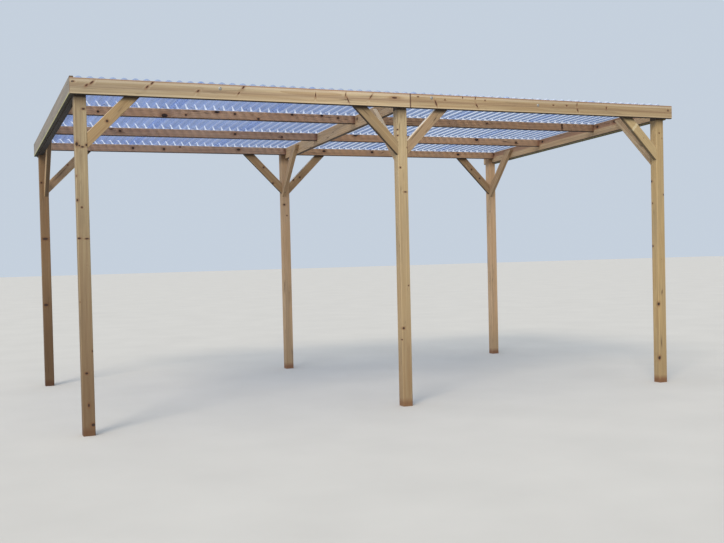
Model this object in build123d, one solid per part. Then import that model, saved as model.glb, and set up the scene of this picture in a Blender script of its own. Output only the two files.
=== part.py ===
from build123d import *
import os
from math import asin, atan, cos, degrees, radians, tan

# Open timber carport with a single-slope roof of clear corrugated sheets.
# Millimetres, +Z up, X along the long front beam, Y from the front to the back.
# The origin is on the ground at the middle of the overall length and depth.

# Bays, measured between the left faces of neighbouring posts
left_bay = 2400
right_bay = 2490

# From the front posts' front faces to the rear posts' front faces
frame_depth = 2830

# Square posts
post_side = 80
post_arris = 4

# Board across the front, in two lengths, proud of the posts
front_beam_top = 2418
front_beam_height = 112
front_beam_thickness = 30
front_beam_arris = 6
beam_over_right = 70
beam_joint_past_post = 20

# The roof falls to the back
roof_slope_deg = 2.4

# Three beams from front to back, let into the post heads
cross_beam_height = 112
cross_beam_thickness = 40
cross_beam_tail = 100

# Purlins and the rear beam are one stock
purlin_height = 70
purlin_thickness = 40
purlin_rows = 2

# Boards that close the two ends; the front board's left end covers the left one
fascia_height = 120
fascia_thickness = 28

# Braces at 45 degrees to the timber they carry; a drop is from the roof down to the foot's lower corner
brace_width = 77
brace_thickness = 40
long_brace_drop = 467
cross_brace_drop = 503
cross_brace_below_roof = 30

# Planed edges of beams, boards and braces
timber_arris = 3

# Corrugated sheets
wave_pitch = 76
wave_height = 16
sheet_thickness = 1.2
sheet_waves = 12
lap_waves = 1
roof_waves = 65
first_trough_left = 6
sheet_behind_front = 18
sheet_over_rear = 30

# The left end board stands as high as the waves, the right one only to the roof's plane
fascia_rise_left = wave_height
fascia_rise_right = 0

# Clearances
sheet_seat_gap = 0.3
sheet_lap_gap = 0.3

# Lengths that follow
frame_length = left_bay + right_bay + post_side
beam_over_left = fascia_thickness
overall_length = beam_over_left + frame_length + beam_over_right
timber_depth = frame_depth + post_side + cross_beam_tail
overall_depth = front_beam_thickness + timber_depth + sheet_over_rear

# Faces that the pieces share
post_left_x = beam_over_left - overall_length / 2
post_middle_x = post_left_x + left_bay
post_right_x = post_middle_x + right_bay
frame_end_x = post_right_x + post_side
front_y = front_beam_thickness - overall_depth / 2
rear_y = front_y + frame_depth
tail_y = front_y + timber_depth
rear_beam_y = rear_y - purlin_thickness
board_front_y = front_y - front_beam_thickness
roof_fall = tan(radians(roof_slope_deg))

# Each frame's post, and its cross-beam: on the outer side at the left end, to the right elsewhere
post_starts = {"left": post_left_x, "middle": post_middle_x, "right": post_right_x}
cross_beam_starts = {
    "left": post_left_x,
    "middle": post_middle_x + post_side - cross_beam_thickness,
    "right": post_right_x + post_side - cross_beam_thickness,
}

# What a cross-beam leaves of a post head, beside it
cheek = post_side - cross_beam_thickness
cheek_starts = {"left": post_left_x + cross_beam_thickness, "middle": post_middle_x, "right": post_right_x}


def roof_z(y):
    """Height of the plane that the sheets lie on."""
    return front_beam_top - (y - board_front_y) * roof_fall


def under_roof(start_y, end_y, low_start_z, low_end_z):
    """Side view of a piece whose top is cut to the roof, as a face on the YZ plane."""
    outline = Polyline(
        (start_y, low_start_z),
        (end_y, low_end_z),
        (end_y, roof_z(end_y)),
        (start_y, roof_z(start_y)),
        close=True,
    )
    return make_face(outline.edges())


def raking_block(start_x, thickness, height):
    """Plain block that follows the roof from the front beam's back to the tail."""
    side = under_roof(front_y, tail_y, roof_z(front_y) - height, roof_z(tail_y) - height)
    return extrude(Plane.YZ.offset(start_x) * side, thickness)


def raking_timber(start_x, thickness, height):
    """Cross-beam or end board: a raking block with its four long edges planed off."""
    block = raking_block(start_x, thickness, height)
    long_edges = [edge for edge in block.edges() if edge.length >= timber_depth]
    return chamfer(long_edges, timber_arris)


def level_timber(start_x, end_x, y, thickness, height, arris):
    """Beam, board or purlin along X, its top bevelled to the roof."""
    low_z = roof_z(y + thickness) - height
    side = chamfer(under_roof(y, y + thickness, low_z, low_z).vertices(), arris)
    return extrude(Plane.YZ.offset(start_x) * side, end_x - start_x)


def front_beam(start_x, end_x):
    """One length of the front board."""
    return level_timber(start_x, end_x, board_front_y, front_beam_thickness, front_beam_height, front_beam_arris)


def purlin(start_x, end_x, y):
    """Purlin or rear beam between two cross-beams."""
    return level_timber(start_x, end_x, y, purlin_thickness, purlin_height, timber_arris)


def post(frame, y):
    """Square post, cut to the roof at its head and halved for the cross-beam."""
    start_x = post_starts[frame]
    section = chamfer(Rectangle(post_side, post_side).vertices(), post_arris)
    shaft = extrude(Pos(start_x + post_side / 2, y + post_side / 2) * section, roof_z(y))
    head_cut = extrude(Plane.YZ.offset(start_x) * under_roof(y, y + post_side, 0, 0), post_side)
    halving = raking_block(cross_beam_starts[frame], cross_beam_thickness, cross_beam_height)
    return (shaft & head_cut) - halving


def brace(drop, below_roof, fall, thickness):
    """Brace that leans out from a post face at X = 0, where the roof is at Z = 0 and falls
    by `fall` along X. Its foot is cut upright and its head along the roof, `below_roof`
    under it, and its four slanting edges are planed off."""
    lean = radians(45) - atan(fall)
    rise = tan(lean)
    upright_width = brace_width / cos(lean)
    lower_reach = (drop - below_roof) / (rise + fall)
    upper_reach = (drop - below_roof - upright_width) / (rise + fall)
    outline = Polyline(
        (0, -drop),
        (lower_reach, -below_roof - lower_reach * fall),
        (upper_reach, -below_roof - upper_reach * fall),
        (0, upright_width - drop),
        close=True,
    )
    stick = extrude(Plane.XZ * make_face(outline.edges()), -thickness)
    slanting = [edge for edge in stick.edges() if abs((edge % 0).X * (edge % 0).Z) > 0.1]
    return chamfer(slanting, timber_arris)


def brace_along(post_face_x, y, to_left):
    """Brace in a long row, flush with the posts' front faces."""
    stick = brace(long_brace_drop, 0, 0, brace_thickness)
    if to_left:
        stick = mirror(stick, Plane.YZ)
    return Pos(post_face_x, y, roof_z(y + brace_thickness)) * stick


def brace_across(frame, post_face_y, to_front):
    """Brace in a frame's plane, in line with the cheek and beside the cross-beam."""
    fall = -roof_fall if to_front else roof_fall
    stick = Rot(0, 0, 90) * brace(cross_brace_drop, cross_brace_below_roof, fall, cheek)
    if to_front:
        stick = mirror(stick, Plane.XZ)
    return Pos(cheek_starts[frame] + cheek, post_face_y, roof_z(post_face_y)) * stick


def wave_line(waves):
    """Tangent arcs from trough to trough, with one radius for crests and troughs."""
    quarter_rise = (wave_height - sheet_thickness) / 2
    quarter_run = wave_pitch / 4
    radius = (quarter_run**2 + quarter_rise**2) / (2 * quarter_rise)
    turn = degrees(asin(quarter_run / radius))
    arcs = [JernArc((0, 0), (1, 0), radius, turn)]
    for bend in range(2 * waves - 1):
        side = 1 if bend % 2 else -1
        arcs.append(JernArc(arcs[-1] @ 1, arcs[-1] % 1, radius, 2 * side * turn))
    arcs.append(JernArc(arcs[-1] @ 1, arcs[-1] % 1, radius, turn))
    return arcs


def roof_sheet(number):
    """One sheet down the slope. Every other one lies a thickness higher, so that its
    edge waves lap over those of its neighbours. The first is cut beside the left board."""
    first_wave = number * (sheet_waves - lap_waves)
    under = wave_line(min(sheet_waves, roof_waves - first_wave))
    over = [Pos(0, sheet_thickness) * arc for arc in under]
    ends = [Line(under[0] @ 0, over[0] @ 0), Line(under[-1] @ 1, over[-1] @ 1)]
    start_x = post_left_x - first_trough_left + first_wave * wave_pitch
    start_y = board_front_y + sheet_behind_front
    lift = sheet_seat_gap + (number % 2) * (sheet_thickness + sheet_lap_gap)
    across = Plane(origin=(start_x, start_y, roof_z(start_y) + lift), x_dir=(1, 0, 0), z_dir=(0, -1, 0))
    down_slope = (0, 1, -roof_fall)
    run = (overall_depth - sheet_behind_front) / cos(radians(roof_slope_deg))
    sheet = extrude(across * make_face(under + over + ends), run, down_slope)
    beside_left_board = Plane.YZ.offset(post_left_x + sheet_seat_gap)
    return split(sheet, beside_left_board, keep=Keep.TOP)


pieces = {}
for frame, start_x in post_starts.items():
    pieces["post_front_" + frame] = post(frame, front_y)
    pieces["post_rear_" + frame] = post(frame, rear_y)
    pieces["cross_beam_" + frame] = raking_timber(
        cross_beam_starts[frame], cross_beam_thickness, cross_beam_height
    )
    pieces["brace_across_front_" + frame] = brace_across(frame, front_y + post_side, to_front=False)
    pieces["brace_across_rear_" + frame] = brace_across(frame, rear_y, to_front=True)

left_board = raking_timber(post_left_x - fascia_thickness, fascia_thickness, fascia_height)
pieces["fascia_left"] = Pos(0, 0, fascia_rise_left) * left_board
right_board = raking_timber(frame_end_x, fascia_thickness, fascia_height)
pieces["fascia_right"] = Pos(0, 0, fascia_rise_right) * right_board

beam_joint_x = post_middle_x + post_side + beam_joint_past_post
pieces["front_beam_left"] = front_beam(post_left_x - beam_over_left, beam_joint_x)
pieces["front_beam_right"] = front_beam(beam_joint_x, frame_end_x + beam_over_right)

purlin_spacing = (rear_beam_y - front_y) / (purlin_rows + 1)
for bay, next_frame in (("left", "middle"), ("middle", "right")):
    start_x = cross_beam_starts[bay] + cross_beam_thickness
    end_x = cross_beam_starts[next_frame]
    side = "left" if bay == "left" else "right"
    for row in range(1, purlin_rows + 1):
        pieces[f"purlin_{row}_{side}"] = purlin(start_x, end_x, front_y + row * purlin_spacing)
    pieces["rear_beam_" + side] = purlin(start_x, end_x, rear_beam_y)

for row, y in (("front", front_y), ("rear", rear_y)):
    pieces[f"brace_{row}_left_post"] = brace_along(post_left_x + post_side, y, to_left=False)
    pieces[f"brace_{row}_middle_post_a"] = brace_along(post_middle_x, y, to_left=True)
    pieces[f"brace_{row}_middle_post_b"] = brace_along(post_middle_x + post_side, y, to_left=False)
    pieces[f"brace_{row}_right_post"] = brace_along(post_right_x, y, to_left=True)

first_wave = 0
number = 0
while first_wave < roof_waves - lap_waves:
    pieces[f"roof_sheet_{number + 1}"] = roof_sheet(number)
    number += 1
    first_wave = number * (sheet_waves - lap_waves)

os.makedirs("parts", exist_ok=True)
for node, solid in pieces.items():
    export_step(solid, f"parts/{node}.step")
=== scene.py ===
import math

import bpy
import numpy as np
from mathutils import Matrix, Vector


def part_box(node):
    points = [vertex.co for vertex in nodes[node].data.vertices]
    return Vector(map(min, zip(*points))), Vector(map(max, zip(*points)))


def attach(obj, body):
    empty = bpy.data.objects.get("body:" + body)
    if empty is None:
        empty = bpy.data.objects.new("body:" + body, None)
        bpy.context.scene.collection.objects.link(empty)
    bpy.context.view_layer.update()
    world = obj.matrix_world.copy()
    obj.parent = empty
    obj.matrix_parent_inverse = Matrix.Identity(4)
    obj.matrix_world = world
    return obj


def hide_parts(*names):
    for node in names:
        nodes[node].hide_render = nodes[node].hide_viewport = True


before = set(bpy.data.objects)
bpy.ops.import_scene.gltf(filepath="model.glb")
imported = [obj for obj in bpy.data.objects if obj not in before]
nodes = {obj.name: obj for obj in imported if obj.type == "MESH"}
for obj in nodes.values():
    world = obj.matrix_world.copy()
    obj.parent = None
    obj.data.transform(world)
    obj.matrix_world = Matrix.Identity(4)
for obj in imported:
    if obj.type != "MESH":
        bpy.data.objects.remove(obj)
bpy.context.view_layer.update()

# Timber carport with a clear corrugated roof: looks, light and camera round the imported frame.
# Metres, +Z up, X along the front beam, Y from the front to the back.

scene = bpy.context.scene
rng = np.random.default_rng(2931)
print("frame loaded:", len(nodes), "pieces")

# Settings that many nodes share
smooth = {"interpolation_type": "SMOOTHSTEP"}
fromPlace = {"vector_type": "TEXTURE"}  # a Mapping that measures from a place, turned and scaled
colorMix = {"data_type": "RGBA"}


def linearColor(hexText):
    # sRGB hex to linear RGBA
    parts = [int(hexText[i:i + 2], 16) / 255 for i in (1, 3, 5)]
    return [c / 12.92 if c <= 0.04045 else ((c + 0.055) / 1.055) ** 2.4 for c in parts] + [1.0]


def addNode(tree, kind, settings={}, inputs={}, output=0):
    # one node with its settings; an input takes a value or another node's output
    node = tree.nodes.new("ShaderNode" + kind)
    for key, value in settings.items():
        if key == "stops":  # a ramp's stops, as {position: grey}
            ramp = node.color_ramp.elements
            for place, tone in value.items():
                ramp.new(place).color = (tone, tone, tone, 1)
            ramp.remove(ramp[0])
            ramp.remove(ramp[-1])
        else:
            setattr(node, key, value)
    for key, value in inputs.items():
        if isinstance(value, bpy.types.NodeSocket):
            tree.links.new(value, node.inputs[key])
        else:
            node.inputs[key].default_value = value
    return node.outputs[output] if node.outputs else node


def newMaterial(name):
    # an empty material and its node tree
    material = bpy.data.materials.new(name)
    material.use_nodes = True
    material.node_tree.nodes.clear()
    return material, material.node_tree


def putMesh(name, points, faces, material, smoothFaces=True):
    # points (n, 3) and faces as index lists into a new object at the origin
    mesh = bpy.data.meshes.new(name)
    mesh.from_pydata(points.tolist(), [], faces)
    mesh.polygons.foreach_set("use_smooth", np.full(len(mesh.polygons), smoothFaces))
    mesh.materials.append(material)
    mesh.update()
    piece = bpy.data.objects.new(name, mesh)
    scene.collection.objects.link(piece)
    return piece


def gridQuads(rows, columns, wrap=False):
    # quads between neighbouring points of a rows x columns grid, numbered row by row;
    # with wrap the last column joins the first
    r = np.arange(rows - 1)[:, None] * columns
    c = np.arange(columns if wrap else columns - 1)[None, :]
    beside = (c + 1) % columns
    corners = [r + c, r + beside, r + columns + beside, r + columns + c]
    return np.stack(corners, -1).reshape(-1, 4)


# How each timber lies: the turn that brings X onto its grain
roofSlope = math.radians(2.4)
braceLean = math.radians(45)
alongX = (0.0, 0.0, 0.0)
alongZ = (0.0, -math.pi / 2, 0.0)
downSlope = (0.0, roofSlope, math.pi / 2)
leanRight = (0.0, -braceLean, 0.0)
leanLeft = (0.0, braceLean, 0.0)
leanBack = (0.0, roofSlope - braceLean, math.pi / 2)
leanFront = (0.0, roofSlope + braceLean, math.pi / 2)

pine = {
    "early": "#C9AB80",      # soft wood between the rings
    "late": "#9C7448",       # hard, dark edge of each ring
    "pale": "#D9BE91",       # lighter streaks and rubbed edges
    "paleShare": 0.7,
    "streakShare": 0.45,     # darker streaks
    "grey": "#A79C88",       # where sun and rain have bleached it
    "greyShare": 0.30,
    "ring": 0.011,           # real rings are 3 to 5 mm, too fine to show here
    "ringDepth": 0.42,
    "knot": "#33211A",
    "knotDepth": 0.95,
    "knotHalo": "#8A5A38",
    "haloDepth": 0.5,
    "knotSize": 0.011,       # radius of the largest random knot
    "knotCell": (0.26, 0.085, 0.085),  # one random knot to a block of this size, along the grain first
    "knots": (),             # those given one by one
    "bulge": 0.014,          # how far a knot pushes the rings aside
    "check": "#4A3422",
    "checkDepth": 0.8,
    "endGrain": "#7E6248",
    "endDepth": 0.75,
    "under": "#261B15",      # painted shade: undersides drawn near black
    "underShadeDepth": 0.9,
    "top": "#F3EBDD",        # painted top light: faces open to the sky drawn paler
    "topLightDepth": 0.0,
    "arris": 0.5,            # how far the edges are rubbed pale
    "stains": (),
    "cast": "#FFFFFF",       # what years of weather lay over the whole piece; on the left cross-beam, painted shade
    "roughness": 0.78,
}


def knotField(tree, placeOf, grain, shift, wood):
    # how far a point is from the nearest knot's heart, counted in that knot's own radii
    # random knots: one ball in each long cell, measured in true metres
    cell = wood["knotCell"]
    cells = addNode(tree, "VectorMath", {"operation": "DIVIDE"}, {0: grain, 1: cell})
    cells = addNode(tree, "VectorMath", {"operation": "ADD"}, {0: cells, 1: shift})
    centre = addNode(tree, "TexVoronoi", {}, {"Vector": cells, "Scale": 1.0}, "Position")
    lot = addNode(tree, "TexVoronoi", {}, {"Vector": cells, "Scale": 1.0}, "Color")
    lot = addNode(tree, "SeparateColor", {}, {0: lot}, 0)
    centre = addNode(tree, "VectorMath", {"operation": "SUBTRACT"}, {0: centre, 1: shift})
    centre = addNode(tree, "VectorMath", {"operation": "MULTIPLY"}, {0: centre, 1: cell})
    gap = addNode(tree, "VectorMath", {"operation": "DISTANCE"}, {0: grain, 1: centre}, "Value")
    radius = addNode(tree, "MapRange", {}, {0: lot, 1: 0.45, 2: 1.0, 3: 0.0005, 4: wood["knotSize"]})
    knots = addNode(tree, "Math", {"operation": "DIVIDE"}, {0: gap, 1: radius})
    # knots given one by one: a ball squeezed to each one's half sizes
    for spot in wood["knots"]:
        turn = (0.0, math.radians(spot["turn"]), 0.0)
        ball = addNode(tree, "Mapping", fromPlace, {0: placeOf, 1: spot["at"], 2: turn, 3: spot["half"]})
        ball = addNode(tree, "VectorMath", {"operation": "LENGTH"}, {0: ball}, "Value")
        knots = addNode(tree, "Math", {"operation": "MINIMUM"}, {0: knots, 1: ball})
    return knots


def stainAmount(tree, placeOf, grain, streak, band):
    # how strongly a stain covers a point: full inside its band, fading over its soft edge,
    # the band itself pushed to and fro by the streaks so that its edges are ragged
    where = grain if band["byGrain"] else placeOf
    axis = addNode(tree, "SeparateXYZ", {}, {0: where}, "XYZ".index(band["axis"]))
    middle = (band["low"] + band["high"] + band["ragged"]) / 2
    off = addNode(tree, "Math", {"operation": "MULTIPLY_ADD"}, {0: streak, 1: band["ragged"], 2: axis})
    off = addNode(tree, "Math", {"operation": "SUBTRACT"}, {0: off, 1: middle})
    off = addNode(tree, "Math", {"operation": "ABSOLUTE"}, {0: off})
    edge = (band["high"] - band["low"]) / 2
    fade = {1: edge, 2: edge + band["soft"]}
    return addNode(tree, "MapRange", {}, {0: off, **fade, 3: band["depth"], 4: 0.0})


def timberLook(name, turn, pith, look):
    # Planed pine treated against rot: satin to matt, lengthwise rings, fibres and drying checks,
    # round dark knots with the grain bent round them, arrises rubbed pale, end grain dark.
    wood = {**pine, **look}
    material, tree = newMaterial(name)
    placeOf = addNode(tree, "TexCoord", {}, {}, "Object")
    # x along the grain, y and z from the pith
    grain = addNode(tree, "Mapping", fromPlace, {0: placeOf, 1: pith, 2: turn})
    shift = tuple(float(x) for x in rng.uniform(3, 40, 3))  # so that no two pieces share a pattern

    knots = knotField(tree, placeOf, grain, shift, wood)
    core = addNode(tree, "MapRange", smooth, {0: knots, 1: 0.65, 2: 1.1, 3: 1.0, 4: 0.0})
    halo = addNode(tree, "MapRange", smooth, {0: knots, 1: 0.9, 2: 2.4, 3: 1.0, 4: 0.0})
    bulge = addNode(tree, "MapRange", smooth, {0: knots, 1: 0.5, 2: 4.5, 3: wood["bulge"], 4: 0.0})

    # rings: distance from a pith line that wanders, with the grain pushed aside at knots
    slow = addNode(tree, "VectorMath", {"operation": "MULTIPLY"}, {0: grain, 1: (0.9, 5.0, 5.0)})
    slow = addNode(tree, "VectorMath", {"operation": "ADD"}, {0: slow, 1: shift})
    wander = addNode(tree, "TexNoise", {}, {"Vector": slow, "Scale": 1.0, "Detail": 2.0}, "Color")
    wander = addNode(tree, "VectorMath", {"operation": "SUBTRACT"}, {0: wander, 1: (0.5, 0.5, 0.5)})
    wander = addNode(tree, "VectorMath", {"operation": "MULTIPLY"}, {0: wander, 1: (0.0, 0.06, 0.06)})
    bent = addNode(tree, "VectorMath", {"operation": "ADD"}, {0: grain, 1: wander})
    bent = addNode(tree, "VectorMath", {"operation": "MULTIPLY"}, {0: bent, 1: (0.0, 1.0, 1.0)})
    reach = addNode(tree, "VectorMath", {"operation": "LENGTH"}, {0: bent}, "Value")
    reach = addNode(tree, "Math", {"operation": "ADD"}, {0: reach, 1: bulge})
    phase = addNode(tree, "Math", {"operation": "DIVIDE"}, {0: reach, 1: wood["ring"]})
    phase = addNode(tree, "Math", {"operation": "FRACT"}, {0: phase})
    ringStops = {0.0: 0.0, 0.3: 0.08, 0.86: 1.0, 0.94: 0.9, 1.0: 0.0}  # slow to darken, quick to end
    rings = addNode(tree, "ValToRGB", {"stops": ringStops}, {0: phase})
    rings = addNode(tree, "Math", {"operation": "MULTIPLY"}, {0: rings, 1: wood["ringDepth"]})

    # fibres (about 3 mm, drawn coarse), streaks (about 20 mm) and patches (about 110 mm), lengthwise
    fibreAt = addNode(tree, "VectorMath", {"operation": "MULTIPLY"}, {0: grain, 1: (4.0, 300.0, 300.0)})
    fibre = addNode(tree, "TexNoise", {},
                    {"Vector": fibreAt, "Scale": 1.0, "Detail": 3.0, "Roughness": 0.65})
    streakAt = addNode(tree, "VectorMath", {"operation": "MULTIPLY"}, {0: grain, 1: (1.3, 46.0, 46.0)})
    streakAt = addNode(tree, "VectorMath", {"operation": "ADD"}, {0: streakAt, 1: shift})
    streak = addNode(tree, "TexNoise", {},
                     {"Vector": streakAt, "Scale": 1.0, "Detail": 3.0, "Roughness": 0.6})
    patchAt = addNode(tree, "VectorMath", {"operation": "MULTIPLY"}, {0: grain, 1: (1.6, 9.0, 9.0)})
    patchAt = addNode(tree, "VectorMath", {"operation": "SUBTRACT"}, {0: patchAt, 1: shift})
    patch = addNode(tree, "TexNoise", {},
                    {"Vector": patchAt, "Scale": 1.0, "Detail": 4.0, "Roughness": 0.6})

    # drying checks: thin lengthwise lines where a stretched noise crosses its middle, in patches
    checkAt = addNode(tree, "VectorMath", {"operation": "MULTIPLY"}, {0: grain, 1: (1.1, 38.0, 38.0)})
    check = addNode(tree, "TexNoise", {}, {"Vector": checkAt, "Scale": 1.0, "Detail": 1.0})
    check = addNode(tree, "Math", {"operation": "SUBTRACT"}, {0: check, 1: 0.5})
    check = addNode(tree, "Math", {"operation": "ABSOLUTE"}, {0: check})
    check = addNode(tree, "MapRange", {}, {0: check, 1: 0.004, 2: 0.013, 3: 1.0, 4: 0.0})
    dry = addNode(tree, "MapRange", {}, {0: patch, 1: 0.52, 2: 0.60, 3: 0.0, 4: wood["checkDepth"]})
    check = addNode(tree, "Math", {"operation": "MULTIPLY"}, {0: check, 1: dry})

    # which faces: undersides for painted shade, tops for painted top light, ends, and the arrises
    # between square faces
    normal = addNode(tree, "NewGeometry", {}, {}, "True Normal")
    up = addNode(tree, "SeparateXYZ", {}, {0: normal}, 2)
    underShade = addNode(tree, "MapRange", {}, {0: up, 1: -0.72, 2: -0.45, 3: wood["underShadeDepth"], 4: 0.0})
    topLight = addNode(tree, "MapRange", {}, {0: up, 1: 0.45, 2: 0.68, 3: 0.0, 4: wood["topLightDepth"]})
    facing = addNode(tree, "Mapping", fromPlace, {0: normal, 2: turn})
    facing = addNode(tree, "VectorMath", {"operation": "ABSOLUTE"}, {0: facing})
    endOn = addNode(tree, "SeparateXYZ", {}, {0: facing}, 0)
    sideY = addNode(tree, "SeparateXYZ", {}, {0: facing}, 1)
    sideZ = addNode(tree, "SeparateXYZ", {}, {0: facing}, 2)
    square = addNode(tree, "Math", {"operation": "MAXIMUM"}, {0: sideY, 1: sideZ})
    square = addNode(tree, "Math", {"operation": "ADD"}, {0: square, 1: endOn})
    arris = addNode(tree, "MapRange", {}, {0: square, 1: 0.8, 2: 0.92, 3: wood["arris"], 4: 0.0})
    endOn = addNode(tree, "MapRange", {}, {0: endOn, 1: 0.5, 2: 0.6, 3: 0.0, 4: wood["endDepth"]})

    lightest, darkest, bleached = wood["paleShare"], wood["streakShare"], wood["greyShare"]
    palePatch = addNode(tree, "MapRange", {}, {0: streak, 1: 0.50, 2: 0.72, 3: 0.0, 4: lightest})
    darkStreak = addNode(tree, "MapRange", {}, {0: streak, 1: 0.30, 2: 0.46, 3: darkest, 4: 0.0})
    greyPatch = addNode(tree, "MapRange", {}, {0: patch, 1: 0.42, 2: 0.68, 3: 0.0, 4: bleached})
    fibreTone = addNode(tree, "MapRange", {}, {0: fibre, 1: 0.3, 2: 0.7, 3: 0.84, 4: 1.12})
    coreTone = addNode(tree, "Math", {"operation": "MULTIPLY"}, {0: core, 1: wood["knotDepth"]})
    haloTone = addNode(tree, "Math", {"operation": "MULTIPLY"}, {0: halo, 1: wood["haloDepth"]})

    layers = [
        ("MIX", palePatch, linearColor(wood["pale"])),
        ("MIX", darkStreak, linearColor(wood["late"])),
        ("MIX", rings, linearColor(wood["late"])),
        ("MIX", greyPatch, linearColor(wood["grey"])),
        ("MULTIPLY", 1.0, fibreTone),
        ("MIX", arris, linearColor(wood["pale"])),
    ]
    for band in wood["stains"]:
        amount = stainAmount(tree, placeOf, grain, streak, band)
        layers.append(("MIX", amount, linearColor(band["color"])))
    layers += [
        ("MIX", haloTone, linearColor(wood["knotHalo"])),
        ("MIX", endOn, linearColor(wood["endGrain"])),
        ("MULTIPLY", 1.0, linearColor(wood["cast"])),
        ("MIX", coreTone, linearColor(wood["knot"])),
        ("MIX", check, linearColor(wood["check"])),
        ("MIX", underShade, linearColor(wood["under"])),
        ("MIX", topLight, linearColor(wood["top"])),
    ]
    color = linearColor(wood["early"])
    for mode, factor, tint in layers:
        color = addNode(tree, "Mix", {**colorMix, "blend_type": mode}, {0: factor, 6: color, 7: tint}, 2)

    # rings and fibres stand a little proud, checks and knot edges are sunk
    relief = addNode(tree, "Math", {"operation": "MULTIPLY_ADD"}, {0: fibre, 1: 0.5, 2: rings})
    relief = addNode(tree, "Math", {"operation": "SUBTRACT"}, {0: relief, 1: check})
    relief = addNode(tree, "Math", {"operation": "SUBTRACT"}, {0: relief, 1: core})
    bump = addNode(tree, "Bump", {}, {"Strength": 0.5, "Distance": 0.0012, "Height": relief})
    satin, matt = wood["roughness"] - 0.08, wood["roughness"] + 0.1
    dull = addNode(tree, "MapRange", {}, {0: patch, 1: 0.3, 2: 0.7, 3: satin, 4: matt})
    shader = addNode(tree, "BsdfPrincipled", {},
                     {"Base Color": color, "Roughness": dull, "Normal": bump, "IOR": 1.45})
    addNode(tree, "OutputMaterial", {}, {0: shader})
    return material


def dress(node, turn, look, pithAt):
    # pithAt is where the pith line runs beside the piece's middle, across the grain
    low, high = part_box(node)
    first, second = pithAt
    offset = {alongX: (0, first, second), alongZ: (first, second, 0)}.get(turn, (first, 0, second))
    pith = tuple((a + b) / 2 + o for a, b, o in zip(low, high, offset))
    material = timberLook(node.replace("_", " ") + " treated pine", turn, pith, look)
    piece = nodes[node]
    for slot in piece.material_slots:
        slot.material = material


def somewhere(spread):
    # a random pith, up to this far off the piece's middle both ways
    return tuple(rng.uniform(-spread, spread, 2))


knotReach = 0.02  # how deep a knot given one by one goes into the wood


def faceKnot(x, y, z, across, tall=None, turn=0):
    # a knot on a face that looks to the front, by its half sizes; turn leans it, in degrees
    return {"at": (x, y, z), "half": (across, knotReach, tall or across), "turn": turn}


def sideKnot(x, y, z, across, tall=None):
    # a knot on a face that looks to the left
    return {"at": (x, y, z), "half": (knotReach, across, tall or across), "turn": 0}


def stain(color, depth, low, high, soft, ragged, axis="Z", byGrain=False):
    # a band across one axis of the object, or of the grain; the streaks drag its edges by ragged
    return {"color": color, "depth": depth, "low": low, "high": high, "soft": soft,
            "ragged": ragged, "axis": axis, "byGrain": byGrain}


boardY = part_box("front_beam_left")[0].y
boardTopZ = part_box("front_beam_left")[1].z
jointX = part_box("front_beam_left")[1].x
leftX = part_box("post_front_left")[0].x
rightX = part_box("post_front_right")[0].x

# Posts: damp red-brown feet, splashed to knee height, painted shade under the beam with rain streaks.
# Knots are x, height, half across, half tall and lean, the last two only where they matter.
posts = {
    "post_front_left": {
        "tones": {"early": "#BBA98B", "pale": "#DED0AC", "late": "#93785A", "cast": "#DAD2C6"},
        "splash": stain("#7A5C42", 0.65, -0.5, 0.3, 1.3, -0.4),
        "knots": [
            (-2.496, 1.975, 0.010, 0.015), (-2.459, 1.957, 0.011, 0.006), (-2.480, 1.965, 0.006),
            (-2.446, 2.213, 0.011, 0.007), (-2.510, 1.761, 0.008), (-2.505, 1.598, 0.009),
            (-2.474, 1.550, 0.006), (-2.499, 1.341, 0.014, 0.006), (-2.447, 1.338, 0.014, 0.005),
            (-2.430, 1.970, 0.010, 0.009), (-2.430, 0.576, 0.006), (-2.474, 0.427, 0.011, 0.008),
            (-2.466, 0.209, 0.007, 0.013), (-2.440, 0.074, 0.014, 0.012)]},
    "post_front_middle": {
        "tones": {"early": "#CDB58B", "pale": "#DCC79E", "cast": "#F2F0EC"},
        "splash": stain("#8A6A48", 0.45, -0.5, 0.3, 1.6, -0.4),
        "knots": [
            (-0.052, 1.661, 0.013, 0.005), (-0.090, 1.849, 0.007), (-0.042, 0.937, 0.005),
            (-0.092, 0.608, 0.011, 0.009), (-0.106, 0.520, 0.005), (-0.106, 2.141, 0.006),
            (-0.106, 2.096, 0.006), (-0.027, 2.099, 0.006), (-0.027, 2.004, 0.006)]},
    "post_front_right": {
        "tones": {"early": "#C3AB80", "pale": "#D4BD92", "cast": "#EEE8DC"},
        "knots": [(2.418, 2.182, 0.006), (2.457, 1.645, 0.007),
                  (rightX, 0.689, 0.012, 0.016, 20), (rightX, 0.217, 0.012, 0.018, 20)],
        "leftFaceKnots": [  # y, height, half across, half tall
            (-1.435, 1.765, 0.012, 0.009), (-1.445, 1.573, 0.007), (-1.440, 1.197, 0.010, 0.008)]},
    "post_rear_left": {
        "tones": {"early": "#A88C6A", "pale": "#B99D78", "cast": "#C6BCB0", "arris": 0.2},
        "splash": stain("#5C4531", 0.55, -0.5, 0.5, 0.7, -0.4),
        "knots": [(-2.490, 1.925, 0.010, 0.008), (-2.470, 1.395, 0.028, 0.012),
                  (-2.480, 0.770, 0.022, 0.013)]},
    "post_rear_middle": {
        "tones": {"early": "#C4A078", "pale": "#D2B088", "arris": 0.3},
        "knots": [(-0.086, 1.713, 0.013, 0.010), (-0.060, 1.60, 0.007)]},
    "post_rear_right": {
        "tones": {"early": "#D9B084", "pale": "#E6C295", "arris": 0.3}},
}
postStainsAndShade = [
    stain("#8A7457", 0.35, -0.4, 0.15, 0.45, -0.3),
    stain("#7A4A31", 0.75, -0.1, 0.028, 0.04, -0.03),
    # painted shade under the front board with rain streaks, then a near black painted shadow right under
    # it
    stain("#5A4431", 0.55, 2.285, 2.6, 0.06, 0.14),
    stain("#241912", 0.85, 2.296, 2.6, 0.008, 0.016),
]
# painted shade at the rear posts' heads, under the rear beam
rearHeadShade = stain("#472E20", 0.55, 2.19, 2.5, 0.06, 0.12)
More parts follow.
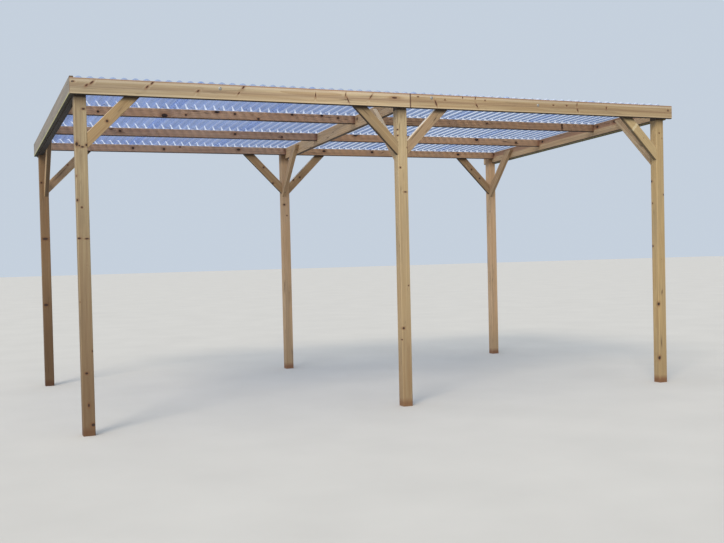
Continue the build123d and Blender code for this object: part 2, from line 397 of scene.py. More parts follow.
for node, post in posts.items():
    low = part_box(node)[0]
    knots = [faceKnot(x, low.y, *sizes) for x, *sizes in post.get("knots", ())]
    knots += [sideKnot(low.x, *sizes) for sizes in post.get("leftFaceKnots", ())]
    stains = list(postStainsAndShade)
    if "rear" in node:
        stains.append(rearHeadShade)
    if "splash" in post:
        stains.append(post["splash"])
    look = {"ringDepth": 0.2, **post["tones"], "stains": stains, "knots": knots}
    if knots:
        look["knotSize"] = 0.006  # where knots are placed, chance adds only small ones
    dress(node, alongZ, look, somewhere(0.03))


def spikeKnot(x, z, length, slant, width=0.006):
    # a knot sawn lengthwise, which shows as a slanting dash on the board's face
    return faceKnot(x, boardY, z, width, length, slant)


# Front board: a brown top edge, painted highlights under it and near the bottom, a painted shadow along
# the bottom, spike knots cut slantwise, a dark joint.
# Knots are x, height, half length, slant in degrees, and half width where it isn't 6 mm.
boards = {
    "front_beam_left": {
        "tones": {"early": "#CCB490", "cast": "#FAFAFA"},
        "pith": (0.075, 0.03),
        "knots": [
            (-2.512, 2.391, 0.005, 0, 0.010), (-2.390, 2.388, 0.018, 50), (-2.425, 2.368, 0.011, 50),
            (-1.985, 2.402, 0.015, 48), (-2.02, 2.375, 0.014, 45), (-1.665, 2.362, 0.012, 50),
            (-1.335, 2.402, 0.015, 42), (-1.37, 2.360, 0.012, 40, 0.004),
            (-0.785, 2.372, 0.016, 5, 0.004), (-0.527, 2.346, 0.024, -25, 0.004),
            (-0.545, 2.385, 0.014, 12, 0.003), (-0.338, 2.378, 0.020, 35, 0.004),
            (-0.141, 2.378, 0.008, 0, 0.026)]},
    "front_beam_right": {
        "tones": {"early": "#C4A981", "cast": "#F4F4F2"},
        "pith": (0.085, -0.06),
        "knots": [
            (2.493, 2.377, 0.008, 0, 0.008), (0.060, 2.394, 0.005, 0, 0.008),
            (0.215, 2.350, 0.024, -20, 0.006), (0.295, 2.380, 0.006, 0),
            (0.453, 2.405, 0.009, 10, 0.004), (0.568, 2.404, 0.012, 15, 0.004),
            (0.580, 2.345, 0.017, -30, 0.005), (0.656, 2.389, 0.005, 0, 0.006),
            (1.303, 2.376, 0.005, 0, 0.007), (1.435, 2.379, 0.007, 0, 0.006),
            (1.538, 2.392, 0.012, 12, 0.004), (1.543, 2.345, 0.015, -22, 0.005),
            (1.836, 2.373, 0.012, 8, 0.005)]},
}
boardStainsAndShading = [
    stain("#94664C", 0.75, 2.409, 2.43, 0.002, 0.003),      # brown top edge
    stain("#E6D2B6", 0.45, 2.394, 2.407, 0.004, 0.008),     # painted highlight: a pale band under it
    stain("#95725A", 0.35, 2.355, 2.372, 0.012, 0.03),
    stain("#7E5C44", 0.5, 2.358, 2.3595, 0.002, 0.012),
    # painted highlight: a pale line near the lower edge
    stain("#E2C9A2", 0.6, 2.311, 2.319, 0.003, 0.003),
    stain("#221710", 0.9, 2.300, 2.3105, 0.001, 0.0),       # painted shadow: a dark line along the bottom edge
    stain("#7A7C6C", 0.26, -3.0, -2.0, 1.4, 0.0, "X"),      # greyer to the left end
    stain("#685840", 0.20, 1.6, 3.0, 1.2, 0.0, "X"),        # and browner to the right end
    stain("#4E281C", 0.85, jointX - 0.003, jointX + 0.002, 0.006, 0.0, "X"),
]
boardLook = {"late": "#A8865F", "knot": "#4A2B1E", "knotSize": 0.001, "ring": 0.017,
             "ringDepth": 0.5, "greyShare": 0.25, "stains": boardStainsAndShading}
for node, board in boards.items():
    knots = [spikeKnot(*spot) for spot in board["knots"]]
    dress(node, alongX, {**boardLook, **board["tones"], "knots": knots}, board["pith"])

# Purlins and rear beam: pinker, and darker under the sheets by painted shade, big dark knots, damp ends,
# painted shadow along the lower edges, painted top light. Knots are x, height, half across and half
# tall.
purlinLook = {"early": "#C89F7A", "late": "#9A7052", "pale": "#D8B48E", "grey": "#A88F78",
              "knot": "#241410", "knotCell": (0.2, 0.08, 0.08), "greyShare": 0.3, "topLightDepth": 0.55}
purlins = {
    "purlin_1_left": {"cast": "#F2F2F6", "knots": [
        (-2.219, 2.335, 0.009, 0.008), (-1.705, 2.322, 0.022, 0.014), (-1.534, 2.332, 0.008, 0.007),
        (-1.279, 2.365, 0.020, 0.009), (-1.130, 2.354, 0.008, 0.007), (-0.931, 2.320, 0.010, 0.008),
        (-0.638, 2.366, 0.011, 0.009), (-0.372, 2.369, 0.012, 0.009), (-0.224, 2.351, 0.008, 0.007)]},
    "purlin_1_right": {"cast": "#E2DED8", "knots": [
        (2.058, 2.345, 0.006, 0.030), (0.610, 2.336, 0.008, 0.007), (1.240, 2.352, 0.009, 0.006)]},
    "purlin_2_left": {"cast": "#DEE0EC", "knots": [
        (-1.905, 2.309, 0.010, 0.009), (-0.870, 2.310, 0.012, 0.009), (-0.419, 2.294, 0.009, 0.008)]},
    "purlin_2_right": {"cast": "#F6F2EC", "knots": [
        (0.328, 2.330, 0.020, 0.011), (1.666, 2.319, 0.018, 0.011), (2.136, 2.300, 0.010, 0.009)]},
    "rear_beam_left": {"cast": "#E6EAF6", "knots": [
        (-1.634, 2.266, 0.011, 0.010), (-1.332, 2.262, 0.011, 0.010), (-1.173, 2.285, 0.008, 0.007),
        (-0.573, 2.272, 0.016, 0.010)]},
    "rear_beam_right": {"cast": "#F4F0E8", "knots": [
        (0.356, 2.273, 0.016, 0.010), (0.910, 2.273, 0.014, 0.009), (1.963, 2.268, 0.015, 0.010)]},
}
knotGrowth = 1.3  # a knot's dark core ends inside its half sizes, so these are drawn larger
for node, purlin in purlins.items():
    low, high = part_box(node)
    wetEnd = stain("#6A3626", 0.55, high.x - 0.012, high.x + 0.1, 0.03, 0.06, "X")
    # painted shadow: a dark line along the lower edge
    shadedEdge = stain("#33201A", 0.85, low.z - 0.01, low.z + 0.0035, 0.002, 0.002)
    knots = [faceKnot(x, low.y, z, knotGrowth * across, knotGrowth * tall)
             for x, z, across, tall in purlin["knots"]]
    look = {**purlinLook, "cast": purlin["cast"], "knots": knots, "stains": [wetEnd, shadedEdge]}
    dress(node, alongX, look, somewhere(0.06))

# Cross-beams, the inner face of the right one pinkish above and paler below.
# Their knots are y, height, half across and half tall.
shaded = {"under": "#150F0B", "underShadeDepth": 0.97}  # painted shade: the left end's undersides drawn almost black, as they never see the sun
pinkBand = stain("#91614C", 0.6, -0.026, 0.1, 0.005, 0.008, byGrain=True)
crossBeams = {
    # painted shade: the left cross-beam is drawn dark all over
    "cross_beam_left": {"tones": {**shaded, "cast": "#51423A"}, "knots": []},
    "cross_beam_middle": {"tones": {}, "knots": [(-0.62, 2.345, 0.014, 0.014)]},
    "cross_beam_right": {"tones": {"stains": [pinkBand]}, "knots": [
        (-0.629, 2.346, 0.02, 0.013), (-0.885, 2.365, 0.02, 0.013),
        (0.302, 2.310, 0.02, 0.013), (1.285, 2.273, 0.02, 0.013)]},
}
# the beams' upper faces get painted top light
beamLook = {"early": "#CBAA80", "pale": "#DABD92", "late": "#A07A55", "topLightDepth": 0.55}
beamPith = (0.05, 0.03)
for node, beam in crossBeams.items():
    knots = [sideKnot(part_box(node)[0].x, *spot) for spot in beam["knots"]]
    dress(node, downSlope, {**beamLook, **beam["tones"], "knots": knots}, beamPith)

# End boards: bleached grey by the weather, the planed lower edge still yellow-green
lowerEdge = stain("#BFC08A", 0.85, -0.09, -0.069, 0.006, 0.004, byGrain=True)
fascia = {"late": "#7F7669", "grey": "#8F8D88", "greyShare": 0.75, "ringDepth": 0.3,
          "stains": [lowerEdge]}
nail = sideKnot(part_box("fascia_left")[0].x, 0.725, 2.287, 0.006)
# the left end board takes the same painted shade on its undersides
leftFascia = {**fascia, **shaded, "early": "#9F988F", "pale": "#AFA79C", "cast": "#EDE8E2",
              "knots": [nail]}
rightFascia = {**fascia, "early": "#A69C88", "pale": "#B8AD95", "cast": "#DDD8CE"}
dress("fascia_left", downSlope, leftFascia, (-0.06, 0.02))
dress("fascia_right", downSlope, rightFascia, (0.06, 0.02))

# Braces along the rows: soft wood's tone, knots by x and height, painted shadow at the heads, painted
# top light
braces = {
    "brace_front_left_post": ("#C2A57B", [(-2.292, 2.136)]),
    "brace_front_middle_post_a": ("#B59A74", []),
    "brace_front_middle_post_b": ("#BF9F80", []),
    "brace_front_right_post": ("#D2BC90", []),
    "brace_rear_left_post": ("#B5977A", []),
    "brace_rear_middle_post_a": ("#BE9C74", [(-0.301, 2.097), (-0.203, 1.936)]),
    "brace_rear_middle_post_b": ("#BE9C74", [(0.020, 1.971)]),
    "brace_rear_right_post": ("#C19A6F", [(2.155, 2.106), (2.257, 2.006)]),
}
leansLeft = ("_a", "right_post")  # how the names end of braces that lean to the left
# a pale band across the brace
paleBand = stain("#F4E6C2", 0.7, -0.050, -0.034, 0.006, 0.03, "X", byGrain=True)
for node, (tone, spots) in braces.items():
    front = "front" in node
    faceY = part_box(node)[0].y
    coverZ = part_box("front_beam_left" if front else "rear_beam_left")[0].z
    headShadow = stain("#2A1D15", 0.85, coverZ - 0.006, coverZ + 0.2, 0.022, 0.02)  # painted shadow under its beam
    look = {"early": tone, "cast": "#E4E0D8", "ringDepth": 0.26, "topLightDepth": 0.9,
            "knotCell": (0.18, 0.07, 0.07), "knots": [faceKnot(x, faceY, z, 0.010) for x, z in spots],
            "stains": [headShadow]}
    if front:
        look["knotSize"] = 0.004
    if node == "brace_front_right_post":
        look["stains"] = [headShadow, paleBand]
        # less painted shade on this brace's underside
        look["underShadeDepth"] = 0.7
    dress(node, leanLeft if node.endswith(leansLeft) else leanRight, look, somewhere(0.03))

# Braces across the frames, with painted sunlight on their tops
acrossLook = {"top": "#F2DDB8", "topLightDepth": 0.6}
frontLook = {**acrossLook, "early": "#BFA07A"}
rearLook = {**acrossLook, "early": "#BC9A74"}
rearUnderShade = {"left": 0.9, "middle": 0.3, "right": 0.3}  # painted shade under the rear across braces, lighter under the two that light from the floor reaches
for frameName, underShadeDepth in rearUnderShade.items():
    dress("brace_across_front_" + frameName, leanBack, frontLook, somewhere(0.03))
    look = {**rearLook, "underShadeDepth": underShadeDepth}
    dress("brace_across_rear_" + frameName, leanFront, look, somewhere(0.03))
print("timber dressed")

sheet = {
    "count": 6,
    "pitch": 0.076,
    "height": 0.016,
    "thickness": 0.0012,
    "waves": 12,
    "lap": 1,
    "roofWaves": 65,
    "pastPosts": 0.006,      # from the left posts' outer face to the first trough
    "perWave": 16,           # points across one wave
    "rows": 37,              # points down the slope
    "bow": 0.003,            # rise between two supports, at most
    "bowDrift": 0.4,         # part of it that comes and goes along the roof
    "driftTurns": 2.1,       # radians of that per metre
    "seat": 0.0003,          # clearance over the timber
    "lapGap": 0.0003,        # and between lapped sheets
    "blue": "#647EB7",       # cast of the sheets, in clouds of two tones
    "paleBlue": "#879CCA",
    "deepBlue": "#3A5F8E",   # where they are clearer, towards the right end
    "clear": "#F3F7FF",
    # white of the painted highlights
    "highlightWhite": "#FAFCFF",
    "dust": "#E6EAF0",
    "leftEnd": -2.0,         # between these two the left end's look turns into the right end's
    "rightEnd": 1.4,
    "deeper": 0.9,           # how far the right end takes the deep blue
    "strokes": (0.19, 0.20, 0.24),  # length of the painted highlight strokes before each support
    "strokeSlant": 0.38,     # their run across the waves, for each metre down the slope
    "strokeAt": 0.55,        # where they meet the support, in waves after a trough
    "strokeDepth": 0.9,      # how white they are
    "shorter": 2.6,          # they are this many times shorter at the right end
    "stripeAt": 0.58,        # middle of the painted reflection stripe in each wave, in waves after a trough
    "stripeDepths": (0.16, 0.92),   # how pale it is at the left end and at the right end
    "white": 0.75,           # share of the light that the painted highlights scatter
    "lapShare": 0.55,        # part of all the scatter that damp leaves in a lap
    "washedShare": 0.4,      # and that rain leaves over the front board
    "most": 0.9,             # some light comes straight through everywhere
}


def roofZ(y):
    # the plane that the sheets lie on falls to the back by the slope's tangent, from the board's top
    return boardTopZ - (y - boardY) * math.tan(roofSlope)


firstX = leftX - sheet["pastPosts"]
boardBearing = 0.024  # from the board's face to the middle of what carries the sheets' ends
halfPurlin = 0.02
purlinFaces = [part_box(f"{row}_left")[0].y for row in ("purlin_1", "purlin_2", "rear_beam")]
supports = [boardY + boardBearing] + [y + halfPurlin for y in purlinFaces]
bowPhase = rng.uniform(0, 6.28, 4)  # where each span's drift starts, in radians


def bow(x, y):
    # a squared sine hump in each span between supports, its size drifting along the roof
    rise = np.zeros(np.broadcast(x, y).shape)
    for span, (start, end) in enumerate(zip(supports[:-1], supports[1:])):
        t = np.clip((y - start) / (end - start), 0, 1)
        along = np.sin(sheet["driftTurns"] * x + bowPhase[span])
        size = 1 - sheet["bowDrift"] + sheet["bowDrift"] * along
        rise = rise + sheet["bow"] * size * np.sin(math.pi * t) ** 2
    return rise


def waveRise(t):
    # tangent arcs: t counts waves, 0 at a trough; every quarter wave is one arc of the same radius
    quarter, rise = sheet["pitch"] / 4, (sheet["height"] - sheet["thickness"]) / 2
    radius = (quarter ** 2 + rise ** 2) / (2 * rise)
    s = np.abs((t + 0.5) % 1 - 0.5) * 4 * quarter  # run from the nearest trough, up to half a wave
    low = radius - np.sqrt(radius ** 2 - np.minimum(s, quarter) ** 2)
    high = 2 * rise - radius + np.sqrt(radius ** 2 - np.minimum(2 * quarter - s, quarter) ** 2)
    return np.where(s <= quarter, low, high)


def pvcLook():
    # Clear PVC sheet, extruded: glossy and see-through with a blue cast, glancing light mirrored
    # in the waves. A share of the light scatters in it, more where dust lies, and most in the painted
    # highlights: white strokes before the supports and a pale reflection stripe in each wave.
    material, tree = newMaterial("clear corrugated PVC")
    placeOf = addNode(tree, "TexCoord", {}, {}, "Object")
    acrossOf = addNode(tree, "SeparateXYZ", {}, {0: placeOf}, 0)
    downOf = addNode(tree, "SeparateXYZ", {}, {0: placeOf}, 1)
    # streaks of dust 25 mm wide and 0.8 m long, clouds of about 0.3 m
    dustAt = addNode(tree, "VectorMath", {"operation": "MULTIPLY"}, {0: placeOf, 1: (40.0, 1.2, 1.0)})
    dust = addNode(tree, "TexNoise", {},
                   {"Vector": dustAt, "Scale": 1.0, "Detail": 4.0, "Roughness": 0.6})
    cloudAt = addNode(tree, "VectorMath", {"operation": "MULTIPLY"}, {0: placeOf, 1: (3.2, 2.4, 1.0)})
    cloud = addNode(tree, "TexNoise", {}, {"Vector": cloudAt, "Scale": 1.0, "Detail": 3.0})
    # the painted highlight strokes get shorter and the painted reflection stripes stronger towards the
    # right end
    ends = {1: sheet["leftEnd"], 2: sheet["rightEnd"]}
    toRight = addNode(tree, "MapRange", smooth, {0: acrossOf, **ends, 3: 0.0, 4: 1.0})
    shorter = addNode(tree, "MapRange", {}, {0: toRight, 1: 0.0, 2: 1.0, 3: 1.0, 4: sheet["shorter"]})

    # painted highlights: white strokes that cross each wave slantwise, ending at a support
    paintedHighlight = None
    strokeStart = firstX + sheet["strokeAt"] * sheet["pitch"]
    toWaveMiddle = (("SUBTRACT", strokeStart), ("DIVIDE", sheet["pitch"]), ("FRACT", 0.0),
                    ("SUBTRACT", 0.5), ("ABSOLUTE", 0.0))
    for face, stroke in zip(purlinFaces, sheet["strokes"]):
        before = addNode(tree, "Math", {"operation": "SUBTRACT"}, {0: face, 1: downOf})
        along = addNode(tree, "Math", {"operation": "MULTIPLY"}, {0: before, 1: shorter})
        fade = addNode(tree, "MapRange", {}, {0: along, 1: stroke * 0.5, 2: stroke, 3: 1.0, 4: 0.0})
        width = addNode(tree, "MapRange", {}, {0: along, 1: 0.02, 2: stroke, 3: 0.15, 4: 0.02})
        inFront = addNode(tree, "Math", {"operation": "GREATER_THAN"}, {0: before, 1: 0.0})
        wave = addNode(tree, "Math", {"operation": "MULTIPLY_ADD"},
                       {0: before, 1: sheet["strokeSlant"], 2: acrossOf})
        for operation, value in toWaveMiddle:
            wave = addNode(tree, "Math", {"operation": operation}, {0: wave, 1: value})
        line = addNode(tree, "Math", {"operation": "SUBTRACT"}, {0: width, 1: wave})
        line = addNode(tree, "MapRange", {}, {0: line, 1: -0.02, 2: 0.04, 3: 0.0, 4: 1.0})
        line = addNode(tree, "Math", {"operation": "MULTIPLY"}, {0: line, 1: fade})
        line = addNode(tree, "Math", {"operation": "MULTIPLY"}, {0: line, 1: inFront})
        paintedHighlight = line if paintedHighlight is None else addNode(tree, "Math", {"operation": "MAXIMUM"}, {0: paintedHighlight, 1: line})

    # painted reflection: every wave shows one pale stripe and one clear blue one
    stripe = acrossOf
    for operation, value in (("SUBTRACT", firstX), ("DIVIDE", sheet["pitch"]), ("FRACT", 0.0),
                             ("SUBTRACT", sheet["stripeAt"]), ("ABSOLUTE", 0.0)):
        stripe = addNode(tree, "Math", {"operation": operation}, {0: stripe, 1: value})
    stripe = addNode(tree, "MapRange", smooth, {0: stripe, 1: 0.11, 2: 0.23, 3: 1.0, 4: 0.0})
    weak, strong = sheet["stripeDepths"]
    stripeStrength = addNode(tree, "MapRange", {}, {0: toRight, 1: 0.0, 2: 1.0, 3: weak, 4: strong})
    stripe = addNode(tree, "Math", {"operation": "MULTIPLY"}, {0: stripe, 1: stripeStrength})
    paintedHighlight = addNode(tree, "Math", {"operation": "MULTIPLY"}, {0: paintedHighlight, 1: sheet["strokeDepth"]})
    paintedHighlight = addNode(tree, "Math", {"operation": "MAXIMUM"}, {0: paintedHighlight, 1: stripe})

    tone = addNode(tree, "MapRange", {}, {0: cloud, 1: 0.35, 2: 0.65, 3: 0.0, 4: 1.0})
    deeper = addNode(tree, "Math", {"operation": "MULTIPLY"}, {0: toRight, 1: sheet["deeper"]})
    tint = linearColor(sheet["blue"])
    for factor, hexText in ((tone, sheet["paleBlue"]), (deeper, sheet["deepBlue"]),
                            (paintedHighlight, sheet["highlightWhite"])):
        tint = addNode(tree, "Mix", colorMix, {0: factor, 6: tint, 7: linearColor(hexText)}, 2)

    # fine pale dust stays on the upper side, so from above the sheets look greyer than from below
    dustColor = linearColor(sheet["dust"])
    up = addNode(tree, "NewGeometry", {}, {}, "True Normal")
    up = addNode(tree, "SeparateXYZ", {}, {0: up}, 2)
    dusty = addNode(tree, "MapRange", {}, {0: up, 1: 0.0, 2: 0.4, 3: 0.0, 4: 0.95})
    film = addNode(tree, "Mix", colorMix, {0: dusty, 6: tint, 7: dustColor}, 2)
    rough = addNode(tree, "MapRange", {}, {0: dust, 1: 0.3, 2: 0.8, 3: 0.08, 4: 0.3})
    gloss = addNode(tree, "BsdfPrincipled", {}, {"Base Color": film, "Roughness": rough, "IOR": 1.54})
    halfDusty = addNode(tree, "Math", {"operation": "MULTIPLY"}, {0: dusty, 1: 0.5})
    glowTint = addNode(tree, "Mix", colorMix, {0: halfDusty, 6: tint, 7: dustColor}, 2)
    glow = addNode(tree, "BsdfTranslucent", {}, {"Color": glowTint})
    through = addNode(tree, "MapRange", {}, {0: paintedHighlight, 1: 0.0, 2: 1.0, 3: 0.6, 4: 0.95})
    body = addNode(tree, "MixShader", {}, {0: through, 1: gloss, 2: glow})
    clear = addNode(tree, "BsdfTransparent", {}, {"Color": linearColor(sheet["clear"])})

    # the share that isn't clear: glancing light, dust and the painted highlights
    glance = addNode(tree, "LayerWeight", {}, {0: 0.35}, "Fresnel")
    share = addNode(tree, "MapRange", {}, {0: glance, 1: 0.10, 2: 0.60, 3: 0.0, 4: 0.55})
    milky = addNode(tree, "MapRange", {}, {0: dust, 1: 0.35, 2: 0.75, 3: 0.02, 4: 0.10})
    milky = addNode(tree, "Math", {"operation": "MULTIPLY_ADD"}, {0: paintedHighlight, 1: sheet["white"], 2: milky})
    share = addNode(tree, "Math", {"operation": "ADD"}, {0: share, 1: milky})
    # damp between two lapped sheets clears both, so a lap is hardly darker than one sheet
    lapStep = sheet["waves"] - sheet["lap"]
    lapAt = addNode(tree, "Math", {"operation": "SUBTRACT"}, {0: acrossOf, 1: firstX})
    lapAt = addNode(tree, "Math", {"operation": "DIVIDE"}, {0: lapAt, 1: sheet["pitch"] * lapStep})
    lapped = addNode(tree, "Math", {"operation": "FRACT"}, {0: lapAt})
    lapped = addNode(tree, "Math", {"operation": "LESS_THAN"}, {0: lapped, 1: sheet["lap"] / lapStep})
    pastFirst = addNode(tree, "Math", {"operation": "GREATER_THAN"}, {0: lapAt, 1: 0.5})
    lapped = addNode(tree, "Math", {"operation": "MULTIPLY"}, {0: lapped, 1: pastFirst})
    cleared = addNode(tree, "MapRange", {}, {0: lapped, 1: 0.0, 2: 1.0, 3: 1.0, 4: sheet["lapShare"]})
    # rain keeps the edge over the front board clean
    edge = {1: boardY + 0.03, 2: boardY + 0.10}
    washed = addNode(tree, "MapRange", {}, {0: downOf, **edge, 3: sheet["washedShare"], 4: 1.0})
    for operation, value in (("MULTIPLY", cleared), ("MULTIPLY", washed), ("MINIMUM", sheet["most"])):
        share = addNode(tree, "Math", {"operation": operation}, {0: share, 1: value})
    shader = addNode(tree, "MixShader", {}, {0: share, 1: clear, 2: body})
    addNode(tree, "OutputMaterial", {}, {0: shader})
    return material


pvc = pvcLook()
for number in range(sheet["count"]):
    node = f"roof_sheet_{number + 1}"
    low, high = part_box(node)
    firstWave = number * (sheet["waves"] - sheet["lap"])
    waves = min(sheet["waves"], sheet["roofWaves"] - firstWave)
    trim = (low.x - firstX) / sheet["pitch"] - firstWave  # the first sheet is cut beside the end board
    across = np.linspace(max(trim, 0), waves, waves * sheet["perWave"] + 1)
    down = np.linspace(low.y, high.y, sheet["rows"])
    x = firstX + (firstWave + across[None, :]) * sheet["pitch"]
    y = down[:, None]
    # height: the roof's plane, the seat or lap under the sheet, its wave and its bow
    lift = sheet["seat"] + (number % 2) * (sheet["thickness"] + sheet["lapGap"])
    under = roofZ(y) + lift + waveRise(across)[None, :] + bow(x, y)
    x, y = np.broadcast_arrays(x, y)
    lowerSide = np.stack([x, y, under], -1)
    upperSide = np.stack([x, y, under + sheet["thickness"]], -1)
    # one closed loop per row: upper side left to right, lower side back again
    loop = np.concatenate([upperSide, lowerSide[:, ::-1]], 1)
    rows, columns = loop.shape[:2]
    c = np.arange(columns // 2 - 1)
    frontEnd = np.stack([c, columns - 1 - c, columns - 2 - c, c + 1], -1)
    backEnd = (frontEnd + (rows - 1) * columns)[:, ::-1]
    faces = np.concatenate([gridQuads(rows, columns, wrap=True), frontEnd, backEnd])
    piece = putMesh(f"corrugated_sheet_{number + 1}", loop.reshape(-1, 3), faces.tolist(), pvc)
    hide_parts(node)
    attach(piece, "root")
print("roof sheets made")


def galvanisedLook(name, hexText, roughness):
    # Zinc-plated steel, barrelled and dulled: grey, cloudy every 3 mm or so, with brown bloom in places
    material, tree = newMaterial(name)
    placeOf = addNode(tree, "TexCoord", {}, {}, "Object")
    bloom = addNode(tree, "TexNoise", {}, {"Vector": placeOf, "Scale": 350.0, "Detail": 3.0})
    stained = addNode(tree, "MapRange", {}, {0: bloom, 1: 0.5, 2: 0.7, 3: 0.0, 4: 0.5})
    steel, rust = linearColor(hexText), linearColor("#6B4A38")
    color = addNode(tree, "Mix", colorMix, {0: stained, 6: steel, 7: rust}, 2)
    smoother, rougher = roughness - 0.1, roughness + 0.1
    rough = addNode(tree, "MapRange", {}, {0: bloom, 1: 0.3, 2: 0.7, 3: smoother, 4: rougher})
    bump = addNode(tree, "Bump", {}, {"Strength": 0.3, "Distance": 0.0002, "Height": bloom})
    shader = addNode(tree, "BsdfPrincipled", {},
                     {"Base Color": color, "Roughness": rough, "Metallic": 0.8, "Normal": bump})
    addNode(tree, "OutputMaterial", {}, {0: shader})
    return material


def capLook():
    # Moulded polyethylene caps on the roof screws: waxy off-white, a little soiled in 6 mm clouds
    material, tree = newMaterial("polyethylene screw caps")
    placeOf = addNode(tree, "TexCoord", {}, {}, "Object")
    soil = addNode(tree, "TexNoise", {}, {"Vector": placeOf, "Scale": 160.0, "Detail": 3.0})
    fresh, soiled = linearColor("#C9CCD2"), linearColor("#A9AAA6")
    color = addNode(tree, "Mix", colorMix, {0: soil, 6: fresh, 7: soiled}, 2)
    bump = addNode(tree, "Bump", {}, {"Strength": 0.15, "Distance": 0.0003, "Height": soil})
    shader = addNode(tree, "BsdfPrincipled", {},
                     {"Base Color": color, "Roughness": 0.42, "IOR": 1.51, "Normal": bump})
    addNode(tree, "OutputMaterial", {}, {0: shader})
    return material


def turnedHeads(name, profile, places, outward, segments, material):
    # a profile of (radius, height) pairs turned about an axis at each place:
    # place + r cos a u + r sin a v + h axis, with u and v square to the axis,
    # all heads in one array; both ends are closed by a flat face
    profile, places = np.array(profile), np.array(places)
    axis = np.broadcast_to(np.array(outward, float), places.shape)
    axis = axis / np.linalg.norm(axis, axis=1, keepdims=True)
    helper = np.where(np.abs(axis[:, 1:2]) < 0.9, [[0.0, 1.0, 0.0]], [[1.0, 0.0, 0.0]])
    u = np.cross(helper, axis)
    u = u / np.linalg.norm(u, axis=1, keepdims=True)
    v = np.cross(axis, u)
    turnOf = np.arange(segments) * 2 * math.pi / segments
    ring = np.cos(turnOf)[None, :, None] * u[:, None] + np.sin(turnOf)[None, :, None] * v[:, None]
    points = (places[:, None, None] + profile[None, :, 0, None, None] * ring[:, None]
              + profile[None, :, 1, None, None] * axis[:, None, None])
    perHead = len(profile) * segments
    starts = (np.arange(len(places)) * perHead)[:, None, None]
    quads = (gridQuads(len(profile), segments, wrap=True)[None] + starts).reshape(-1, 4)
    ends = np.stack([np.arange(segments)[::-1], np.arange(segments) + perHead - segments])
    caps = (ends[None] + starts).reshape(-1, segments)
    piece = putMesh(name, points.reshape(-1, 3), quads.tolist() + caps.tolist(), material)
    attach(piece, "root")


zinc = galvanisedLook("zinc-plated steel", "#B2B1AC", 0.6)
darkZinc = galvanisedLook("weathered zinc-plated steel", "#5E5A56", 0.55)
bareProfile = [(0.0052, -0.001), (0.0052, 0.0006), (0.0044, 0.0012), (0.0024, 0.0012), (0.0020, -0.0006)]

# Screws in the front board: three on wide washers, two bare heads near the ends
boardScrews = {
    "washered": [(-1.507, 2.387), (0.177, 2.390), (1.154, 2.370)],
    "bare": [(-2.520, 2.390), (2.493, 2.377)],
    "sides": (20, 16),
    "washerProfile": [(0.012, -0.001), (0.012, 0.0012), (0.0115, 0.0016), (0.0064, 0.0017),
                      (0.0064, 0.0030), (0.0050, 0.0042), (0.0024, 0.0042), (0.0021, 0.0022)],
}
washered = [(x, boardY, z) for x, z in boardScrews["washered"]]
bare = [(x, boardY, z) for x, z in boardScrews["bare"]]
toFront = (0, -1, 0)
washerSides, bareSides = boardScrews["sides"]
turnedHeads("front_board_washered_screws", boardScrews["washerProfile"], washered, toFront,
            washerSides, zinc)
turnedHeads("front_board_screws", bareProfile, bare, toFront, bareSides, darkZinc)

# Brace screws: one near each end of every brace, square to its lower edge
braceScrews = {"fromTip": 0.06, "sides": 12}
places, outward = [], []
for name in nodes:
    if not name.startswith("brace_"):
        continue
    low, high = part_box(name)
    axis = 1 if "across" in name else 0
    lean = braceLean
    if axis == 1:
        lean += -roofSlope if "front" in name else roofSlope
    forward = -1 if ("rear" in name if axis else name.endswith(leansLeft)) else 1
    reach = high[axis] - low[axis]
    across = (low[1 - axis] + high[1 - axis]) / 2
    for run in (braceScrews["fromTip"], reach / math.cos(lean) - braceScrews["fromTip"]):
        spot = [across, across, low.z + run * math.sin(lean)]
        spot[axis] = (low[axis] if forward > 0 else high[axis]) + forward * run * math.cos(lean)
        away = [0.0, 0.0, -math.cos(lean)]
        away[axis] = forward * math.sin(lean)
        places.append(spot)
        outward.append(away)
turnedHeads("brace_screws", bareProfile, places, outward, braceScrews["sides"], darkZinc)

# Roof screws: a domed cap on every third crest over each purlin and the rear beam
roofScrews = {
    "every": 3,
    "first": 1,
    "sides": 12,
    "capProfile": [(0.0120, -0.0008), (0.0120, 0.0010), (0.0104, 0.0026), (0.0080, 0.0046),
                   (0.0050, 0.0060), (0.0018, 0.0066)],
}
wave = np.arange(roofScrews["first"], sheet["roofWaves"], roofScrews["every"])
lapStep = sheet["waves"] - sheet["lap"]
# crests on the sheets that lie higher, and in the laps
raised = ((wave // lapStep) % 2 == 1) | ((wave % lapStep == 0) & (wave > 0))
crestX = firstX + (wave + 0.5) * sheet["pitch"]
crestLift = sheet["seat"] + raised * (sheet["thickness"] + sheet["lapGap"]) + sheet["height"]
rowsY = np.array(supports[1:])[:, None]
crestZ = roofZ(rowsY) + crestLift[None]
crests = np.stack(np.broadcast_arrays(crestX[None], rowsY, crestZ), -1).reshape(-1, 3)
roofNormal = (0, math.sin(roofSlope), math.cos(roofSlope))
turnedHeads("roof_screw_caps", roofScrews["capProfile"], crests, roofNormal,
            roofScrews["sides"], capLook())
print("screws made:", len(washered) + len(bare) + len(places) + len(crests))

# Pale floor, even sky and two soft lamps
studio = {
    "floor": "#C2BEB6",
    "floorReach": 60.0,      # from the middle to each edge
    "sky": "#DAE6F4",
    "skyStrength": 0.80,
    "softboxes": {           # toward the lamp, strength, spread in degrees, colour
        "softbox_left": ((-0.55, -0.60, 0.70), 1.75, 20, "#FFF4E4"),
        "softbox_top": ((-0.35, -0.1, 1.0), 1.1, 60, "#F3F6FF"),
    },
}


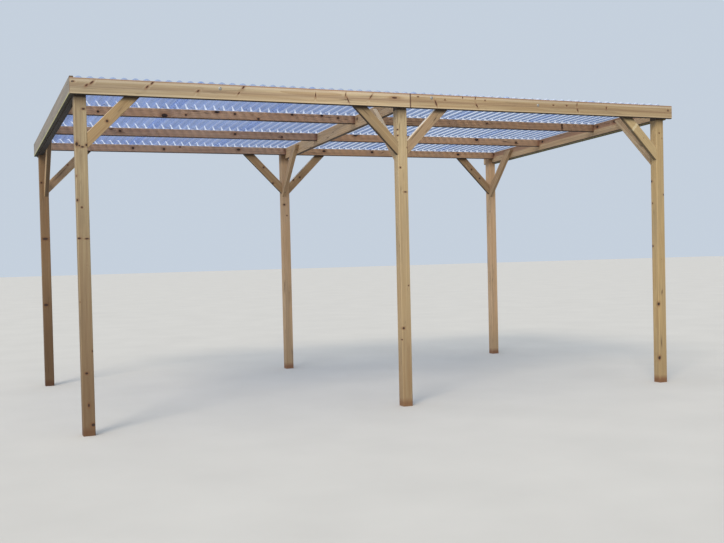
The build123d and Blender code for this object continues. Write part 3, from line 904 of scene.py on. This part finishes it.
def floorLook(name, hexText):
    # Painted studio floor: even and matt, with a trace of unevenness
    material, tree = newMaterial(name)
    placeOf = addNode(tree, "TexCoord", {}, {}, "Object")
    speck = addNode(tree, "TexNoise", {}, {"Vector": placeOf, "Scale": 1.5, "Detail": 4.0})
    tone = addNode(tree, "MapRange", {}, {0: speck, 1: 0.3, 2: 0.7, 3: 0.97, 4: 1.03})
    paint = linearColor(hexText)
    color = addNode(tree, "Mix", {**colorMix, "blend_type": "MULTIPLY"}, {0: 1.0, 6: paint, 7: tone}, 2)
    shader = addNode(tree, "BsdfPrincipled", {}, {"Base Color": color, "Roughness": 0.9})
    addNode(tree, "OutputMaterial", {}, {0: shader})
    return material


corners = np.array([(-1, -1, 0), (1, -1, 0), (1, 1, 0), (-1, 1, 0)], float) * studio["floorReach"]
floorPaint = floorLook("pale floor paint", studio["floor"])
floor = putMesh("studio_floor", corners, [[0, 1, 2, 3]], floorPaint, smoothFaces=False)

world = bpy.data.worlds.new("soft studio")
scene.world = world
world.use_nodes = True
background = world.node_tree.nodes["Background"]
background.inputs["Color"].default_value = linearColor(studio["sky"])
background.inputs["Strength"].default_value = studio["skyStrength"]

for name, ((x, y, z), strength, spread, hexText) in studio["softboxes"].items():
    # a wide sun stands for a softbox
    lamp = bpy.data.lights.new(name, "SUN")
    lamp.energy = strength
    lamp.angle = math.radians(spread)
    lamp.color = linearColor(hexText)[:3]
    holder = bpy.data.objects.new(name, lamp)
    fromZenith = math.acos(z / math.sqrt(x * x + y * y + z * z))
    holder.rotation_euler = (fromZenith, 0.0, math.atan2(y, x) + math.pi / 2)
    scene.collection.objects.link(holder)

# The camera where the photo was taken from, angles in radians
view = {
    "beforeBoard": 6.6741,   # from the front board's face to the camera
    "x": -3.2967,
    "z": 1.2133,
    "yaw": 0.40384,
    "pitch": -0.02144,
    "roll": -0.02290,
    "focalPixels": 961.05,
    "imageWidth": 724,
}
lens = bpy.data.cameras.new("photo_camera")
lens.sensor_width = 36.0
lens.sensor_fit = "HORIZONTAL"
lens.lens = view["focalPixels"] / view["imageWidth"] * lens.sensor_width
lens.clip_end = 300.0
camera = bpy.data.objects.new("photo_camera", lens)
scene.collection.objects.link(camera)
camera.matrix_world = (Matrix.Translation((view["x"], boardY - view["beforeBoard"], view["z"]))
                       @ Matrix.Rotation(-view["yaw"], 4, "Z")
                       @ Matrix.Rotation(math.pi / 2 + view["pitch"], 4, "X")
                       @ Matrix.Rotation(view["roll"], 4, "Z"))
scene.camera = camera
scene.view_settings.view_transform = "Standard"
print("stage, light and camera set")

bpy.context.view_layer.update()
